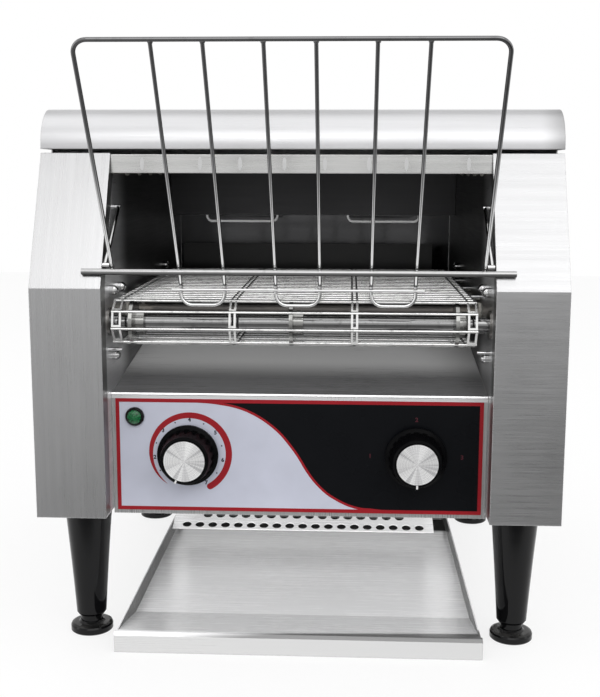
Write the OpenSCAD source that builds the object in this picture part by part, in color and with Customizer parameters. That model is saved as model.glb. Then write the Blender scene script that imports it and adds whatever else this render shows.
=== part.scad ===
/* [Body] */
// Overall width across the two side housings
body_w = 368; // [356:1:400]
// Depth from the front face to the back panel
body_d = 360; // [350:1:400]
// Height of the base plate above the surface it stands on
base_z = 106.5; // [100:0.5:120]
// Height of the upright part of the housing front
front_h = 163; // [155:1:172]
// Height of the sloping part of the housing front
slope_h = 92; // [86:1:98]
// How far the sloping part leans back
slope_back = 42; // [38:1:48]
// Width of each side housing
housing_w = 49.6; // [46:0.2:54]
// Thickness of the casing sheet
sheet = 1; // [0.8:0.1:1.2]
// Depth of the folded return at the inner edge of a housing
return_d = 14; // [10:1:15]

/* [Cover and hood] */
// Height of the top cover above the housings
cover_h = 31.5; // [28:0.5:36]
// Radius of the rolled front of the top cover
cover_r = 28; // [20:1:28]
// Air slot between the cover's front edge and the hood
vent_gap = 3.7; // [2:0.1:5]
// Height of the hood's front lip
lip_h = 13; // [10:0.5:16]
// Distance from the back panel to the rear baffle
baffle_in = 60; // [56:1:64]
// Height of the rear baffle
baffle_h = 51; // [40:1:56]

/* [Control panel] */
// Setback of the control panel behind the front face
panel_y = 26; // [22:0.5:30]
// Height of the control panel
panel_h = 88; // [86:0.5:90]
// How far the panel hangs below the base plate
panel_drop = 4; // [2:0.5:6]
// Bare edge of the panel beside the printed overlay
overlay_edge = 2.9; // [2:0.1:8]
// Height of the printed overlay
overlay_h = 82.8; // [80:0.2:84]
// Thickness of the printed overlay
overlay_t = 0.4; // [0.3:0.1:0.8]
// Distance of the speed knob from the panel's left end
speed_in = 55.4; // [48:0.2:64]
// Distance of the selector knob from the panel's right end
select_in = 50.4; // [44:0.2:58]
// Height of both knobs above the base plate
knob_z = 41.5; // [40:0.5:44]
// Distance of the lamp from the panel's left end
lamp_in = 16.8; // [14:0.2:22]
// Height of the lamp above the base plate
lamp_z = 68.4; // [64:0.2:72]

/* [Knobs and lamp] */
// Diameter of a knob's skirt
skirt_d = 44; // [38:1:46]
// Height of a knob from the panel to its face
knob_h = 23; // [20:0.5:26]
// Diameter of the metal cap in a knob's face
cap_d = 29; // [24:1:31]
// Diameter of the control spindles
spindle_d = 6; // [5:0.5:6.5]
// Diameter of the lamp's bezel
lamp_d = 13.6; // [12:0.2:16]

/* [Legs and feet] */
// Distance of the legs from the side of the body
leg_in = 23.4; // [21:0.2:26]
// Distance of the front legs from the front face
leg_y1 = 55.4; // [50:0.2:60]
// Distance of the rear legs from the back panel
leg_back = 23.6; // [22:0.2:30]
// Diameter of a leg at its top
leg_top_d = 37; // [34:0.5:38]
// Diameter of a leg at its lower end
leg_low_d = 22.5; // [20:0.5:26]
// Diameter of a foot's disc
foot_d = 32; // [28:1:36]
// Height of a foot's disc
foot_t = 6.5; // [5:0.5:8]
// Height of the neck between disc and leg
neck_h = 6.5; // [5:0.5:8]
// Diameter of the neck
neck_d = 17; // [14:0.5:19]
// Diameter of a foot's stud
stud_d = 8; // [6:0.5:10]
// Length of a foot's stud inside its leg
stud_l = 34; // [28:1:40]

/* [Belt and shafts] */
// Spacing of the belt's wire strands
belt_pitch = 12; // [11.6:0.1:12.4]
// Diameter of the belt wire
belt_wire = 1.8; // [1.6:0.1:2.2]
// Room beside the belt, both sides together
belt_room = 14.8; // [13:0.2:20]
// Offset of the belt towards the left wall
belt_shift = 3; // [1:0.5:3]
// Room behind the rear shaft for the toast's way down
drop_room = 82; // [80:1:94]
// Position of the strands along the wrap, in degrees
belt_phase = 11; // [6:1:16]
// Distance from the front face to the front shaft
shaft_y = 26; // [25:0.5:28]
// Height of the belt's upper side above the base plate
belt_top = 153.5; // [152:0.5:155]
// Diameter of both shafts
shaft_d = 10; // [8:0.5:11]
// Outer diameter of a shaft bush
bush_d = 15; // [14:0.5:16]
// Thickness of a belt sprocket
sprocket_t = 2.5; // [2:0.5:4]

/* [Drive] */
// Pitch of the drive chain
chain_pitch = 6.35; // [6.2:0.05:6.5]
// Teeth on the motor's sprocket
motor_teeth = 10; // [10:1:10]
// Teeth on the drive shaft's sprocket
drive_teeth = 20; // [20:1:20]
// Links in the drive chain, always even
chain_links = 44; // [42:2:44]
// Distance from the inner wall to the middle of the chain
chain_x = 18; // [15:0.5:22]
// Length of the gear motor's body
motor_l = 62; // [50:1:70]
// Diameter of the motor can
motor_d = 37; // [30:1:38]
// Diameter of the gear motor's output shaft
motor_shaft_d = 7; // [6:0.5:8]

/* [Heaters] */
// Diameter of a heater tube
heater_d = 8; // [6.5:0.5:9]
// Spacing of the heater tubes
heater_step = 48; // [44:1:50]
// Number of upper heater tubes
upper_heaters_n = 4; // [3:1:4]
// Number of lower heater tubes
lower_heaters_n = 3; // [2:1:4]
// Distance from the front face to the first upper heater
heater_y = 96; // [90:1:100]
// Outer diameter of a ceramic insulator
insulator_d = 14; // [12:0.5:15]

/* [Feed rack] */
// Room beside the feed rack's frame, both sides together
rack_room = 15.2; // [13:0.2:22]
// Length of the rack above its cross bar
rack_l = 169; // [150:1:180]
// Lean of the rack from upright, in degrees
rack_lean = 33.7; // [32:0.1:35]
// Diameter of the frame wire
rack_wire = 2.8; // [2.4:0.1:3.2]
// Diameter of the guide wires
guide_wire = 2.5; // [2:0.1:3]
// Diameter of the cross bar
bar_d = 4.2; // [3.6:0.1:5]
// How far the cross bar passes each inner wall
bar_over = 13.1; // [10:0.1:24]
// Height of the cross bar above the upright front
bar_up = 11.5; // [10:0.5:14]
// Width of one bent guide
guide_w = 30.4; // [26:0.2:34]
// Spacing of the bent guides
guide_step = 65.7; // [60:0.1:70]
// Distance of the rack's pivot from the front face
pivot_y = 51; // [49:0.5:54]
// Height of the rack's pivot above the upright front
pivot_up = 54; // [52:0.5:58]
// Diameter of the rod across the guide tips
tip_rod_d = 1.9; // [1.6:0.1:2.4]

/* [Chute and tray] */
// Width of the tray beyond the toast chute
chute_room = 17; // [15:1:23]
// Distance from the back panel to the chute's lower edge
chute_in = 98; // [92:1:105]
// Height of the chute's lower edge above the surface
chute_z = 10; // [9.6:0.1:12]
// Slope of the chute's lower end, in degrees
chute_slope = 20; // [17:1:24]
// Radius of the chute's bend
chute_r = 64; // [58:1:66]
// Diameter of the chute's holes
chute_hole = 8.6; // [7:0.1:10]
// Spacing of the chute's holes
chute_step = 12.4; // [12:0.1:13]
// Room between the tray and the feet, both sides together
tray_room = 22.2; // [15:0.2:30]
// Distance from the front face to the tray's front
tray_y = 13.5; // [8:0.5:20]
// How much shorter the toast tray is than the body
tray_short = 42; // [36:1:60]
// Height of the tray's sides
tray_h = 15; // [12:0.5:18]
// Height of the tray's rear lip
tray_back_h = 7; // [4:0.5:7.5]
// Length of the tray's inner front ramp
tray_ramp = 66; // [40:1:80]

/* [Fits] */
// Radial clearance of a shaft in its bush
run_fit = 0.05; // [0.03:0.01:0.08]
// Gap between pieces that move past each other
gap = 0.4; // [0.3:0.05:0.5]
// Gap between fixed pieces that are assembled
seat = 0.1; // [0.05:0.05:0.2]
// Gap left for the bead where two wires are welded
weld = 0.05; // [0.02:0.01:0.1]

/* [Hidden] */
$fn = 64;

// Casing: y runs back from the front face, z up from the surface the feet stand on.
half_w = body_w / 2;
inner_x = half_w - housing_w;
break_z = base_z + front_h;
top_z = break_z + slope_h;
wall_t = 1.5 * sheet;
wall_x = inner_x + wall_t;
baffle_y = body_d - baffle_in;
slope_len = norm([slope_back, slope_h]);
function slope_y(z) = z < break_z ? 0 : slope_back * (z - break_z) / slope_h;

// Legs
leg_x = half_w - leg_in;
leg_y2 = body_d - leg_back;

// Cover and hood
cover_top = top_z + cover_h;
hood_top = top_z - sheet;
hood_y = slope_back;
lip_bottom = hood_top - lip_h;
cover_edge = hood_top + vent_gap;

// Panel
panel_z = base_z - panel_drop;
panel_t = 1.2 * sheet;
shelf_z = panel_z + panel_h;
overlay_w = 2 * (inner_x - overlay_edge);
overlay_z = panel_z + (panel_h - overlay_h) / 2 + 0.2;
speed_x = inner_x - speed_in;
select_x = inner_x - select_in;
lamp_x = inner_x - lamp_in;
knob_axis_z = base_z + knob_z;
lamp_axis_z = base_z + lamp_z;
bushing_d = 9;

// Shafts and belt
belt_r = belt_pitch / (2 * sin(22.5));
shaft_z = base_z + belt_top - belt_wire / 2 - belt_r;
belt_run = floor((body_d - shaft_y - drop_room) / belt_pitch);
shaft_span = belt_pitch * belt_run;
rear_shaft_y = shaft_y + shaft_span;
belt_w = 2 * inner_x - belt_room;
belt_left = -belt_w / 2 - belt_shift;
belt_right = belt_w / 2 - belt_shift;
sprocket_x = [belt_left + 12, -belt_shift - 3, belt_right - 15];

// Chain drive in the right housing
chain_mid_x = wall_x + chain_x;
motor_r = chain_pitch / (2 * sin(180 / motor_teeth));
drive_r = chain_pitch / (2 * sin(180 / drive_teeth));
chain_roller = chain_pitch * 0.5;
chain_free = chain_links - (motor_teeth + drive_teeth) / 2;
chain_more = (drive_teeth - motor_teeth) / (2 * PI);
chain_gap = chain_pitch / 4 * (chain_free + sqrt(pow(chain_free, 2) - 8 * pow(chain_more, 2)));
chain_tilt = 18;
motor_y = rear_shaft_y - chain_gap * sin(chain_tilt);
motor_z = shaft_z - chain_gap * cos(chain_tilt);

// Heaters
upper_heater_z = lip_bottom + heater_d / 2 + 1;
lower_heater_z = shaft_z + 1;
heater_out = 12;
lower_step = 63;

// Feed rack: u runs up along the rack, v out of it towards the front.
rack_w = 2 * inner_x - rack_room;
bar_l = 2 * (inner_x + bar_over);
bar_z = break_z + bar_up;
bar_y = slope_y(bar_z) - (bar_d / 2 + gap) * slope_len / slope_h;
guide_back = (bar_d + guide_wire) / 2 + weld;
frame_back = (bar_d + rack_wire) / 2 + weld;
pivot_z = break_z + pivot_up;
hook_pin_d = rack_wire + 0.4;
rack_top_y = bar_y - rack_l * sin(rack_lean) + frame_back * cos(rack_lean);

// Tray and chute
tray_w = 2 * (leg_x - foot_d / 2) - tray_room;
tray_d = body_d - tray_short;
tray_in = tray_w / 2 - sheet;
chute_w = tray_w - chute_room;
chute_shift = tray_in - gap - chute_w / 2;
chute_y = body_d - chute_in;
chute_top = base_z + 171.5;
chute_t = sheet;
chute_back = body_d - sheet - seat;

// The whole part's depth, from the rack's top wire to the cable gland's nut
front_reach = rack_top_y - rack_wire / 2;
gland_out = 9;
back_reach = body_d + gland_out;
mid_y = (front_reach + back_reach) / 2;

// Moves a piece from casing coordinates to the part's frame.
module placed() translate([0, -mid_y, 0]) children();

// A round bar along X from x1 to x2.
module bar_x(x1, x2, d) translate([x1, 0, 0]) rotate([0, 90, 0]) cylinder(h = x2 - x1, d = d);

// A quarter bend of round wire about Z, starting at an angle.
module bend(r, d, from) rotate([0, 0, from]) rotate_extrude(angle = 90) translate([r, 0])
    circle(d = d, $fn = 24);

// A sheet of a YZ outline, extruded along X from x1 to x2.
module side_plate(x1, x2) translate([x1, 0, 0]) rotate([90, 0, 90]) linear_extrude(x2 - x1) children();

// The same on both sides, mirrored about the middle.
module both_sides() for (side = [-1, 1]) scale_x(side) children();
module scale_x(side) if (side < 0) mirror([1, 0, 0]) children(); else children();

// Outline of a housing seen from its side, drawn in by a wall thickness.
module housing_outline(t) {
    low = base_z - (t > 0 ? 1 : 0);
    break_in = break_z - t * (slope_len - slope_h) / slope_back;
    top_in = slope_y(top_z - t) + t * slope_len / slope_h;
    polygon([[t, low], [t, break_in], [top_in, top_z - t], [body_d - t, top_z - t], [body_d - t, low]]);
}

// Folded return along the inner edge of a housing's front. It stands on the base plate.
module front_return() {
    low = base_z + sheet + seat;
    polygon([[0, low], [0, break_z], [slope_back, top_z], [slope_back + return_d, top_z],
        [return_d, break_z], [return_d, low]]);
}

module housing() {
    color("silver") {
        side_plate(inner_x, half_w - sheet) difference() {
            housing_outline(0);
            housing_outline(sheet);
        }
        side_plate(half_w - sheet, half_w) housing_outline(0);
        side_plate(inner_x, inner_x + sheet) front_return();
    }
}
module left_housing() placed() scale_x(-1) housing();
module right_housing() placed() difference() {
    housing();
    translate([gland_x, body_d, gland_z]) rotate([90, 0, 0])
        cylinder(h = 4 * sheet, d = gland_d, center = true);
}

// Inner wall outline: it starts behind the housing's return and stays under the hood.
module wall_outline() {
    front = return_d + seat;
    back = body_d - sheet - seat;
    bottom = base_z + sheet + seat;
    top = top_z - sheet - seat;
    polygon([[front, bottom], [front, break_z], [front + slope_y(top), top], [back, top],
        [back, bottom]]);
}

module inner_wall(motor_side) {
    difference() {
        side_plate(inner_x, wall_x) wall_outline();
        for (y = [shaft_y, rear_shaft_y]) translate([0, y, shaft_z]) bar_x(inner_x - 1, wall_x + 1, bush_d);
        translate([0, pivot_y, pivot_z]) bar_x(inner_x - 1, wall_x + 1, hook_pin_d + 2 * run_fit);
        for (p = heater_places()) translate([0, p[0], p[1]]) bar_x(inner_x - 1, wall_x + 1, insulator_d);
        for (p = nut_places()) translate([0, p[0], p[1]]) bar_x(inner_x - 1, wall_x + 1, nut_hole);
        for (y = rod_ys()) translate([0, y, rod_z]) bar_x(inner_x - 1, wall_x + 1, rod_d);
        if (motor_side) translate([0, motor_y, motor_z])
            bar_x(inner_x - 1, wall_x + 1, motor_boss_d + 2 * seat);
    }
}
module left_inner_wall() color("gainsboro") placed() scale_x(-1) inner_wall(false);
module right_inner_wall() color("gainsboro") placed() inner_wall(true);

// Top cover: a lid with a rolled front and closed ends.
module cover_outline(t) {
    front = slope_back - sheet / 2;
    under = t > 0 ? 1 : 0;
    difference() {
        polygon([[front + t, cover_edge - under], [front + t, cover_top - t],
            [body_d - t, cover_top - t], [body_d - t, top_z - under],
            [front + cover_r, top_z - under], [front + cover_r, cover_edge - under]]);
        translate([front + cover_r, cover_top - cover_r]) difference() {
            translate([-cover_r - 1, 0]) square(cover_r + 1);
            circle(r = cover_r - t, $fn = 128);
        }
    }
}
module top_cover() color("whitesmoke") placed() {
    side_plate(-half_w + sheet, half_w - sheet) difference() {
        cover_outline(0);
        cover_outline(sheet);
    }
    both_sides() side_plate(half_w - sheet, half_w) cover_outline(0);
}

// Hood: the chamber's ceiling with its front lip and side flanges.
hood_back = body_d - 3 * sheet;
steam_slots = 9;
steam_step = 24;
module hood() color("silver") placed() difference() {
    side_plate(-inner_x + seat, inner_x - seat) union() {
        translate([hood_y, hood_top - sheet]) square([hood_back - hood_y, sheet]);
        translate([hood_y, lip_bottom]) square([sheet, lip_h]);
        translate([hood_y, lip_bottom]) square([5, sheet]);
    }
    for (i = [0:steam_slots - 1])
        translate([(i - (steam_slots - 1) / 2) * steam_step - 6, baffle_y + 14, hood_top - 2 * sheet])
            cube([12, 24, 3 * sheet]);
}

// Rear baffle over the way out of the toasting chamber.
baffle_top = hood_top - sheet;
baffle_bottom = baffle_top - baffle_h;
module rear_baffle() color("dimgray") placed()
    side_plate(-inner_x + seat, inner_x - seat) union() {
        translate([baffle_y, baffle_bottom]) square([sheet, baffle_h]);
        translate([baffle_y, baffle_top - sheet]) square([10, sheet]);
        translate([baffle_y, baffle_bottom]) square([6, sheet]);
    }

// Two bent guard wires under the rear baffle, welded to its lower fold.
guard_d = 2.2;
guard_w = 67;
guard_x = 67;
guard_r = 5;
guard_drop = 6;
module guard_wires() color("silver") placed() both_sides()
    translate([guard_x, baffle_y + 3, baffle_bottom - guard_drop]) {
        bar_x(-guard_w / 2 + guard_r, guard_w / 2 - guard_r, guard_d);
        for (s = [-1, 1]) translate([s * (guard_w / 2 - guard_r), 0, guard_r]) {
            rotate([90, 0, 0]) bend(guard_r, guard_d, s < 0 ? 180 : 270);
            translate([s * guard_r, 0, 0]) cylinder(h = guard_drop - guard_r, d = guard_d);
        }
    }

// Rear panel between the housings, with pressed air slots.
rear_x = inner_x - seat;
vent_rows = 2;
vent_cols = 11;
module rear_panel() color("silver") placed() difference() {
    translate([-rear_x, body_d - sheet, base_z + sheet + seat])
        cube([2 * rear_x, sheet, top_z - base_z - 2 * sheet - 2 * seat]);
    for (i = [0:vent_cols - 1], j = [0:vent_rows - 1])
        translate([(i - (vent_cols - 1) / 2) * 20 - 7, body_d - 2 * sheet, top_z - 30 - j * 12])
            cube([14, 3 * sheet, 4]);
}

// Base plate, with the way out for the toast, the fan's opening and the legs' screw holes.
base_cut_y = chute_y - 14;
module base_plate() color("silver") placed() difference() {
    translate([-half_w + sheet + seat, sheet + seat, base_z])
        cube([body_w - 2 * (sheet + seat), body_d - 2 * (sheet + seat), sheet]);
    translate([-inner_x, 0, base_z - 1]) cube([2 * inner_x, panel_y + panel_t + seat, sheet + 2]);
    translate([-chute_w / 2 - chute_shift - 2, base_cut_y, base_z - 1])
        cube([chute_w + 4, chute_back - base_cut_y + 1, sheet + 2]);
    translate([fan_x, fan_y, base_z - 1]) cylinder(h = sheet + 2, d = fan_size - 6);
    for (p = leg_places()) translate([p[0], p[1], base_z - 1]) cylinder(h = sheet + 2, d = leg_screw_d);
}

// Sloping crumb shelf under the belt, with its rounded nose over the panel.
shelf_rise = 8;
shelf_flat_y = 150;
shelf_back_y = baffle_y - 4;
shelf_flat_z = shelf_z + (shelf_flat_y - panel_y) * tan(shelf_rise);
module lower_shelf() color("silver") placed() side_plate(-inner_x + seat, inner_x - seat) union() {
    polygon([[panel_y, shelf_z + seat], [shelf_flat_y, shelf_flat_z + seat],
        [shelf_back_y, shelf_flat_z + seat], [shelf_back_y, shelf_flat_z + sheet + seat],
        [shelf_flat_y, shelf_flat_z + sheet + seat], [panel_y, shelf_z + sheet + seat]]);
    translate([panel_y, shelf_z + sheet + seat]) circle(r = sheet);
}

// Control panel plate with folded lower edge and holes for the controls.
lamp_body_d = lamp_d - 2.6;
module control_holes(grow) for (p = [[-speed_x, knob_axis_z, bushing_d], [select_x, knob_axis_z, bushing_d],
    [-lamp_x, lamp_axis_z, lamp_body_d]])
    translate([p[0], 0, p[1]]) rotate([90, 0, 0]) cylinder(h = 20, d = p[2] + grow, center = true);
module control_panel() color("silver") placed() difference() {
    side_plate(-inner_x + seat, inner_x - seat) union() {
        translate([panel_y, panel_z]) square([panel_t, panel_h]);
        translate([panel_y, panel_z]) square([14, sheet]);
    }
    translate([0, panel_y, 0]) control_holes(2 * seat);
}
module panel_overlay() color("lightsteelblue") placed() difference() {
    translate([-overlay_w / 2, panel_y - overlay_t, overlay_z]) cube([overlay_w, overlay_t, overlay_h]);
    translate([0, panel_y, 0]) control_holes(4 * seat);
}

// Lamp: a ring with a threaded body behind the panel, and its domed lens.
lens_d = lamp_d - 3.6;
module lamp_bezel() color("black") placed() translate([-lamp_x, panel_y - overlay_t, lamp_axis_z])
    rotate([-90, 0, 0]) difference() {
        union() {
            translate([0, 0, -2.6]) rotate_extrude()
                polygon([[0, 0], [lamp_d / 2 - 0.8, 0], [lamp_d / 2, 1], [lamp_d / 2, 2.6], [0, 2.6]]);
            cylinder(h = 22, d = lamp_body_d);
        }
        translate([0, 0, -3]) cylinder(h = 8, d = lens_d + 2 * seat);
    }
module lamp_lens() color("green") placed() translate([-lamp_x, panel_y - overlay_t, lamp_axis_z])
    rotate([90, 0, 0]) {
        translate([0, 0, -4.8]) cylinder(h = 7.4, d = lens_d);
        translate([0, 0, 2.6]) rotate_extrude() intersection() {
            translate([0, lens_d / 2 - 9.2]) circle(r = 7, $fn = 96);
            square([lens_d / 2, 4]);
        }
    }

// Controls behind the panel: a potentiometer and a rotary switch, each with a spindle.
pot_gap = 0.2;
module control_body(d, h) translate([0, panel_y + panel_t, knob_axis_z]) rotate([-90, 0, 0]) difference() {
    union() {
        cylinder(h = h, d = d);
        translate([0, 0, -panel_t - overlay_t - 3]) cylinder(h = panel_t + overlay_t + 3.1, d = bushing_d);
        for (i = [-1:1]) translate([i * 5 - 1, d / 2 - 1, 3]) cube([2, 7, 0.8]);
    }
    translate([0, 0, -panel_t - overlay_t - 4]) cylinder(h = h, d = spindle_d + 2 * run_fit);
}
pot_d = 24;
switch_d = 32;
module speed_pot() color("dimgray") placed() translate([-speed_x, 0, 0]) control_body(pot_d, 10);
module selector_switch() color("ivory") placed() translate([select_x, 0, 0]) control_body(switch_d, 22);

// A spindle ends in a D-shaped tip inside its knob.
spindle_out = 15;
module spindle() translate([0, panel_y - overlay_t, knob_axis_z]) rotate([90, 0, 0]) difference() {
    translate([0, 0, -6]) cylinder(h = 6 + spindle_out, d = spindle_d);
    translate([-spindle_d, spindle_d / 2 - 1.5, 5]) cube([2 * spindle_d, 3, spindle_out]);
}
module speed_spindle() color("silver") placed() translate([-speed_x, 0, 0]) spindle();
module selector_spindle() color("silver") placed() translate([select_x, 0, 0]) spindle();

// Knob: a fluted skirted body with a pocket for its metal cap and a bore for the spindle.
knob_gap = 3.5;
skirt_h = 3;
cap_t = 1.2;
body_top_d = cap_d + 4;
flutes = 20;
pointer_w = 1.4;
module knob_shape(turn) difference() {
    rotate_extrude() polygon([[0, 0], [skirt_d / 2 - 1, 0], [skirt_d / 2, 1], [skirt_d / 2, skirt_h],
        [body_top_d / 2 + 2.6, skirt_h + 2], [body_top_d / 2 + 0.6, knob_h - knob_gap - 1.2],
        [body_top_d / 2 - 0.8, knob_h - knob_gap], [0, knob_h - knob_gap]]);
    translate([0, 0, knob_h - knob_gap - cap_t]) cylinder(h = 3, d = cap_d + 2 * seat);
    difference() {
        translate([0, 0, -1]) cylinder(h = spindle_out - knob_gap + 1.4, d = spindle_d + 2 * seat);
        translate([-spindle_d, spindle_d / 2 - 1.5 + seat, 5 - knob_gap + 0.2])
            cube([2 * spindle_d, 3, spindle_out]);
    }
    translate([0, 0, -1]) difference() {
        cylinder(h = 2.5, d = skirt_d - 5);
        translate([0, 0, -1]) cylinder(h = 5, d = bushing_d + 6);
    }
    for (i = [0:flutes - 1]) rotate([0, 0, i * 360 / flutes])
        translate([body_top_d / 2 + 3.4, 0, skirt_h + 1.5]) cylinder(h = knob_h, r = 2, $fn = 24);
    rotate([0, 0, turn]) translate([-pointer_w / 2, cap_d / 2 + 0.3, knob_h - knob_gap - 0.4])
        cube([pointer_w, 3, 1]);
}
module knob_at(x) translate([x, panel_y - overlay_t - knob_gap, knob_axis_z]) rotate([90, 0, 0]) children();
// Rest positions of the two pointers, measured from straight up.
speed_rest = 157;
select_rest = 180;
module speed_knob() color("black") placed() knob_at(-speed_x) knob_shape(speed_rest);
module selector_knob() color("black") placed() knob_at(select_x) knob_shape(select_rest);
module knob_cap() translate([0, 0, knob_h - knob_gap - cap_t]) cylinder(h = cap_t + 0.3, d = cap_d);
module speed_knob_cap() color("silver") placed() knob_at(-speed_x) knob_cap();
module selector_knob_cap() color("silver") placed() knob_at(select_x) knob_cap();

// Legs: tapered, hollow mouldings screwed under the base plate.
leg_screw_d = 6;
function leg_places() = [for (x = [-leg_x, leg_x], y = [leg_y1, leg_y2]) [x, y]];
leg_bottom = foot_t + neck_h + gap / 2;
module leg() difference() {
    rotate_extrude($fn = 96) polygon(concat([[0, leg_bottom], [leg_low_d / 2 - 1.2, leg_bottom],
        [leg_low_d / 2, leg_bottom + 1.8]],
        [for (i = [1:6]) let (s = i / 6)
            [leg_low_d / 2 + (leg_top_d - leg_low_d) / 2 * (0.8 * s + 0.2 * s * s),
                leg_bottom + 1.8 + (base_z - leg_bottom - 1.8) * s]],
        [[0, base_z]]));
    translate([0, 0, leg_bottom - 1]) cylinder(h = stud_l + 4, d = stud_d + 2 * run_fit);
    translate([0, 0, base_z - 24]) cylinder(h = 25, d = leg_screw_d);
}
module legs() color("black") placed() for (p = leg_places()) translate([p[0], p[1], 0]) leg();

// Foot: a disc, a neck and a stud that screws up into the leg.
module foot(p) color("black") placed() translate([p[0], p[1], 0]) {
    rotate_extrude($fn = 96) polygon([[0, 0], [foot_d / 2 - 0.8, 0], [foot_d / 2, 0.8],
        [foot_d / 2, foot_t - 2.2], [foot_d / 2 - 0.7, foot_t - 0.9],
        [foot_d / 2 - 2.4, foot_t - 0.2], [neck_d / 2 + 1.6, foot_t], [neck_d / 2, foot_t + 1.2], [neck_d / 2, foot_t + neck_h], [0, foot_t + neck_h]]);
    cylinder(h = foot_t + neck_h + stud_l, d = stud_d);
}
module foot_front_left() foot(leg_places()[0]);
module foot_rear_left() foot(leg_places()[1]);
module foot_front_right() foot(leg_places()[2]);
module foot_rear_right() foot(leg_places()[3]);

// Chute: one sheet with a perforated lip, a bend made of many small folds, and an upright back.
bend_y = chute_back - chute_r;
bend_z = chute_z + (bend_y + chute_r * sin(chute_slope) - chute_y) * tan(chute_slope)
    + chute_r * cos(chute_slope);
chute_edge = 26;
chute_holes_n = 1 + floor((chute_w - chute_edge) / chute_step);
chute_folds = 10;
function fold_at(k, r) = let (a = chute_slope - 90 + k * (90 - chute_slope) / chute_folds)
    [bend_y + r * cos(a), bend_z + r * sin(a)];
module chute_outline() polygon(concat(
    [[chute_y, chute_z]],
    [for (k = [0:chute_folds]) fold_at(k, chute_r)],
    [[chute_back, chute_top], [chute_back - chute_t, chute_top]],
    [for (k = [chute_folds:-1:0]) fold_at(k, chute_r - chute_t)],
    [[chute_y, chute_z] + chute_t * [-sin(chute_slope), cos(chute_slope)]]));
module hole_row(n, y) for (i = [0:n - 1]) translate([(i - (n - 1) / 2) * chute_step, y, -2])
    cylinder(h = 5, d = chute_hole);
module toast_chute() color("silver") placed() translate([-chute_shift, 0, 0]) difference() {
    side_plate(-chute_w / 2, chute_w / 2) chute_outline();
    translate([0, chute_y, chute_z]) rotate([chute_slope, 0, 0]) {
        hole_row(chute_holes_n, 6.5);
        hole_row(chute_holes_n - 3, 21.5);
    }
}

// Toast tray: a folded pan with a boxed front edge and an inner ramp. Its left side runs along the chute.
tray_front_t = 9;
module toast_tray() color("silver") placed() translate([0, tray_y, 0]) {
    translate([-tray_w / 2, sheet, 0]) cube([tray_w, tray_d - sheet, sheet]);
    both_sides() translate([tray_in, 4, 0]) cube([sheet, tray_d - 4, tray_h]);
    translate([-tray_w / 2, tray_d - sheet, 0]) cube([tray_w, sheet, tray_back_h]);
    side_plate(-tray_w / 2 - 1, tray_w / 2 + 1) polygon([[0, 0], [sheet, 0],
        [sheet, tray_h - 1.6 - sheet / 2], [3.4, tray_h - sheet], [5.5, tray_h - sheet], [5.5, tray_h],
        [2.8, tray_h], [0, tray_h - 2]]);
    side_plate(-tray_in, tray_in) polygon([[5.4, tray_h - sheet], [tray_ramp, sheet - 0.01],
        [tray_ramp + 6, sheet - 0.01], [5.4, tray_h]]);
}

// Belt strands: where each one lies round the two shafts, as [y, z, angle of its outward side].
strand_shift = belt_pitch * belt_phase / 45;
function front_wrap() = [for (i = [0:3]) let (a = 90 - belt_phase - 45 * i)
    [shaft_y - belt_r * cos(a), shaft_z + belt_r * sin(a)]];
function rear_wrap() = [for (i = [0:3]) let (a = -90 + belt_phase + 45 * i)
    [rear_shaft_y + belt_r * cos(a), shaft_z + belt_r * sin(a)]];
function low_run() = [for (i = [0:belt_run - 1])
    [shaft_y + strand_shift + i * belt_pitch, shaft_z - belt_r]];
function high_run() = [for (i = [belt_run - 1:-1:0])
    [rear_shaft_y - strand_shift - (belt_run - 1 - i) * belt_pitch, shaft_z + belt_r]];
strands = concat(front_wrap(), low_run(), rear_wrap(), high_run());
strand_n = len(strands);
belt_joints = [belt_left + belt_w / 3, belt_left + 2 * belt_w / 3];
hook_w = 5;
edge_w = 7;
hook_t = belt_wire - 0.3;
hook_l = belt_pitch - belt_wire / 2 - 0.25;

// Outline of one hook of a strand: two legs and the bar that lies against the next strand.
module hook(x1, x2) difference() {
    translate([x1, 0]) square([x2 - x1, hook_l]);
    translate([x1 + hook_t, -1]) square([x2 - x1 - 2 * hook_t, hook_l + 1 - hook_t]);
}
module strand() {
    bar_x(belt_left, belt_right, belt_wire);
    linear_extrude(hook_t, center = true) {
        hook(belt_left + 0.2, belt_left + edge_w);
        hook(belt_right - edge_w, belt_right - 0.2);
        for (x = belt_joints) hook(x - hook_w / 2, x + hook_w / 2);
    }
}
module wire_belt() color("silver") placed() for (i = [0:strand_n - 1]) {
    here = strands[i];
    next = strands[(i + 1) % strand_n];
    translate([0, here[0], here[1]]) rotate([atan2(next[1] - here[1], next[0] - here[0]), 0, 0]) strand();
}

// Belt sprockets: eight teeth between the strands, a hub and a set screw hole.
hub_d = 18;
hub_l = 7;
tooth_gap = belt_wire + 0.8;
module belt_sprocket(turn) rotate([90, 0, 90]) difference() {
    union() {
        linear_extrude(sprocket_t) difference() {
            circle(r = belt_r + 0.4, $fn = 64);
            for (i = [0:7]) rotate(turn + 45 * i) {
                translate([belt_r, 0]) circle(d = tooth_gap, $fn = 32);
                translate([belt_r, -tooth_gap / 2]) square([4, tooth_gap]);
            }
        }
        translate([0, 0, sprocket_t - 0.01]) cylinder(h = hub_l, d = hub_d);
    }
    translate([0, 0, -1]) cylinder(h = sprocket_t + hub_l + 2, d = shaft_d);
    translate([0, 0, sprocket_t + hub_l / 2]) rotate([-90, 0, 0]) cylinder(h = hub_d, d = 3);
}
module sprocket_row(y, turn) translate([0, y, shaft_z]) for (x = sprocket_x)
    translate([x, 0, 0]) belt_sprocket(turn);
front_turn = 90 + belt_phase;
rear_turn = belt_phase - 90;
module front_sprockets() color("silver") placed() sprocket_row(shaft_y, front_turn);
module drive_sprockets() color("silver") placed() sprocket_row(rear_shaft_y, rear_turn);

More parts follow.
